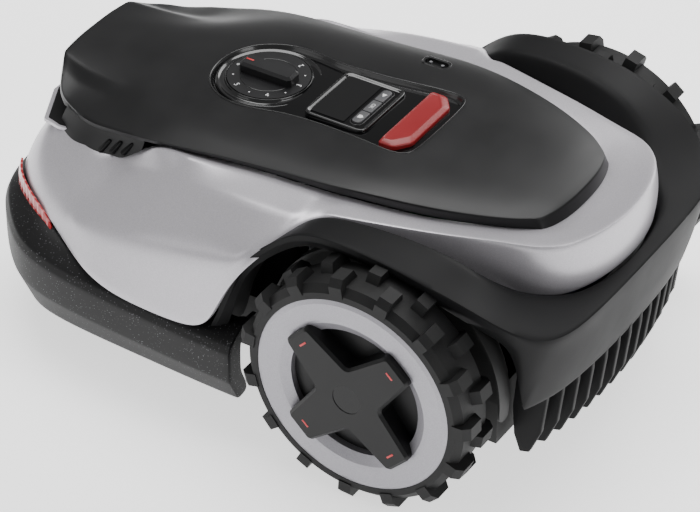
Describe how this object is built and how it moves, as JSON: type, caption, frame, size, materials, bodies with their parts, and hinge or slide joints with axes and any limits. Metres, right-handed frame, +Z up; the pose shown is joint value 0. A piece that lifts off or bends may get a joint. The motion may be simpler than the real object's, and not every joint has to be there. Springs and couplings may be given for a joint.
{
  "type": "robotic lawn mower",
  "caption": "Low robotic lawn mower with lugged drive wheels, front casters, floating bumper, domed hood with dial, display and stop button, and a rear comb guard.",
  "frame": {"origin": "centre of the overall box at lawn level, under the lug tips", "axes": "+Y towards the rear comb guard, -Y towards the nose, +X towards the mower's left side, +Z up"},
  "size_m": [0.45, 0.592, 0.236],
  "materials": {
    "moulded_black": "satin",
    "hood_charcoal": "satin",
    "silver_paint": "satin",
    "bumper_speckle": "matte",
    "gloss_black": "gloss",
    "stop_red": "satin",
    "reflector_red": "gloss",
    "tyre_rubber": "matte",
    "buffer_rubber": "matte",
    "key_grey": "satin",
    "dial_grey": "satin",
    "display_glass": "gloss",
    "lens_glass": "gloss",
    "steel": "brushed",
    "motor_steel": "satin",
    "contact_brass": "satin",
    "cell_wrap": "satin",
    "board_green": "satin"
  },
  "bodies": {
    "chassis": {"chassis_pan": "moulded_black", "lift_guide_rods": "steel", "battery_pack": "cell_wrap", "battery_cover": "moulded_black", "main_board": "board_green", "chassis_screws": "steel", "charging_contacts": "contact_brass", "body_shell": "silver_paint", "hood": "hood_charcoal", "control_panel": "gloss_black", "dial_ring": "gloss_black", "display_frame": "gloss_black", "display_window": "display_glass", "rain_sensor_cup": "moulded_black", "rain_sensor_pins": "steel", "camera_housing": "moulded_black", "camera_window": "gloss_black", "camera_lenses": "lens_glass", "satellite_antenna": "moulded_black", "visor": "moulded_black", "visor_trim": "silver_paint", "side_vents": "moulded_black", "side_reflectors": "reflector_red", "rear_guard": "moulded_black", "gearmotor_left": "motor_steel", "gearmotor_right": "motor_steel"},
    "bumper": {"front_bumper": "bumper_speckle", "bumper_buffers": "buffer_rubber"},
    "dial": {"height_dial": "dial_grey", "height_spindle": "steel"},
    "cutter_lift": {"lift_carrier": "moulded_black", "cutting_motor": "motor_steel"},
    "cutter_disc": {"cutting_disc": "moulded_black", "cutting_shaft": "steel", "blade_screws": "steel"},
    "stop": {"stop_button": "stop_red"},
    "start_key": {"key_start": "key_grey"},
    "ok_key": {"key_ok": "key_grey"},
    "home_key": {"key_home": "key_grey"},
    "knife_1": {"blade_1": "steel"},
    "knife_2": {"blade_2": "steel"},
    "knife_3": {"blade_3": "steel"},
    "drive_wheel_left": {"tyre_left": "tyre_rubber", "wheel_rim_left": "moulded_black", "wheel_ring_left": "silver_paint", "hub_cap_left": "moulded_black", "hub_badge_left": "gloss_black", "axle_left": "steel"},
    "caster_left": {"caster_fork_left": "moulded_black", "caster_axle_left": "steel"},
    "caster_roll_left": {"caster_wheel_left": "tyre_rubber"},
    "drive_wheel_right": {"tyre_right": "tyre_rubber", "wheel_rim_right": "moulded_black", "wheel_ring_right": "silver_paint", "hub_cap_right": "moulded_black", "hub_badge_right": "gloss_black", "axle_right": "steel"},
    "caster_right": {"caster_fork_right": "moulded_black", "caster_axle_right": "steel"},
    "caster_roll_right": {"caster_wheel_right": "tyre_rubber"}
  },
  "joints": [
    {"name": "drive_wheel_left_spin", "type": "hinge", "parent": "chassis", "child": "drive_wheel_left", "pos_m": [0.195, 0.142, 0.112], "axis": [1, 0, 0], "continuous": true},
    {"name": "caster_left_swivel", "type": "hinge", "parent": "chassis", "child": "caster_left", "pos_m": [0.105, -0.184, 0.1], "axis": [0, 0, 1], "continuous": true},
    {"name": "caster_left_roll", "type": "hinge", "parent": "caster_left", "child": "caster_roll_left", "pos_m": [0.105, -0.166, 0.0375], "axis": [1, 0, 0], "continuous": true},
    {"name": "drive_wheel_right_spin", "type": "hinge", "parent": "chassis", "child": "drive_wheel_right", "pos_m": [-0.195, 0.142, 0.112], "axis": [1, 0, 0], "continuous": true},
    {"name": "caster_right_swivel", "type": "hinge", "parent": "chassis", "child": "caster_right", "pos_m": [-0.105, -0.184, 0.1], "axis": [0, 0, 1], "continuous": true},
    {"name": "caster_right_roll", "type": "hinge", "parent": "caster_right", "child": "caster_roll_right", "pos_m": [-0.105, -0.166, 0.0375], "axis": [1, 0, 0], "continuous": true},
    {"name": "dial_turn", "type": "hinge", "parent": "chassis", "child": "dial", "pos_m": [0, -0.08, 0.226], "axis": [0, 0, 1], "range_deg": [0, 240]},
    {"name": "cutter_lift", "type": "slide", "parent": "chassis", "child": "cutter_lift", "axis": [0, 0, 1], "range_m": [-0.04, 0]},
    {"name": "cutter_spin", "type": "hinge", "parent": "cutter_lift", "child": "cutter_disc", "pos_m": [0, -0.01, 0.063], "axis": [0, 0, 1], "continuous": true},
    {"name": "bumper_push", "type": "slide", "parent": "chassis", "child": "bumper", "axis": [0, 1, 0], "range_m": [0, 0.006], "stiffness_N_per_m": 1500},
    {"name": "stop_press", "type": "slide", "parent": "chassis", "child": "stop", "axis": [0, 0, -1], "range_m": [0, 0.004], "stiffness_N_per_m": 900},
    {"name": "start_key_press", "type": "slide", "parent": "chassis", "child": "start_key", "axis": [0, 0, -1], "range_m": [0, 0.0008], "stiffness_N_per_m": 1200},
    {"name": "ok_key_press", "type": "slide", "parent": "chassis", "child": "ok_key", "axis": [0, 0, -1], "range_m": [0, 0.0008], "stiffness_N_per_m": 1200},
    {"name": "home_key_press", "type": "slide", "parent": "chassis", "child": "home_key", "axis": [0, 0, -1], "range_m": [0, 0.0008], "stiffness_N_per_m": 1200},
    {"name": "knife_1_swing", "type": "hinge", "parent": "cutter_disc", "child": "knife_1", "pos_m": [0, 0.066, 0.06], "axis": [0, 0, 1], "continuous": true},
    {"name": "knife_2_swing", "type": "hinge", "parent": "cutter_disc", "child": "knife_2", "pos_m": [-0.06582, -0.048, 0.06], "axis": [0, 0, 1], "continuous": true},
    {"name": "knife_3_swing", "type": "hinge", "parent": "cutter_disc", "child": "knife_3", "pos_m": [0.06582, -0.048, 0.06], "axis": [0, 0, 1], "continuous": true}
  ],
  "couplings": [
    {"joint": "dial_turn", "follows": "cutter_lift", "rad_per_m": -104.72}
  ]
}
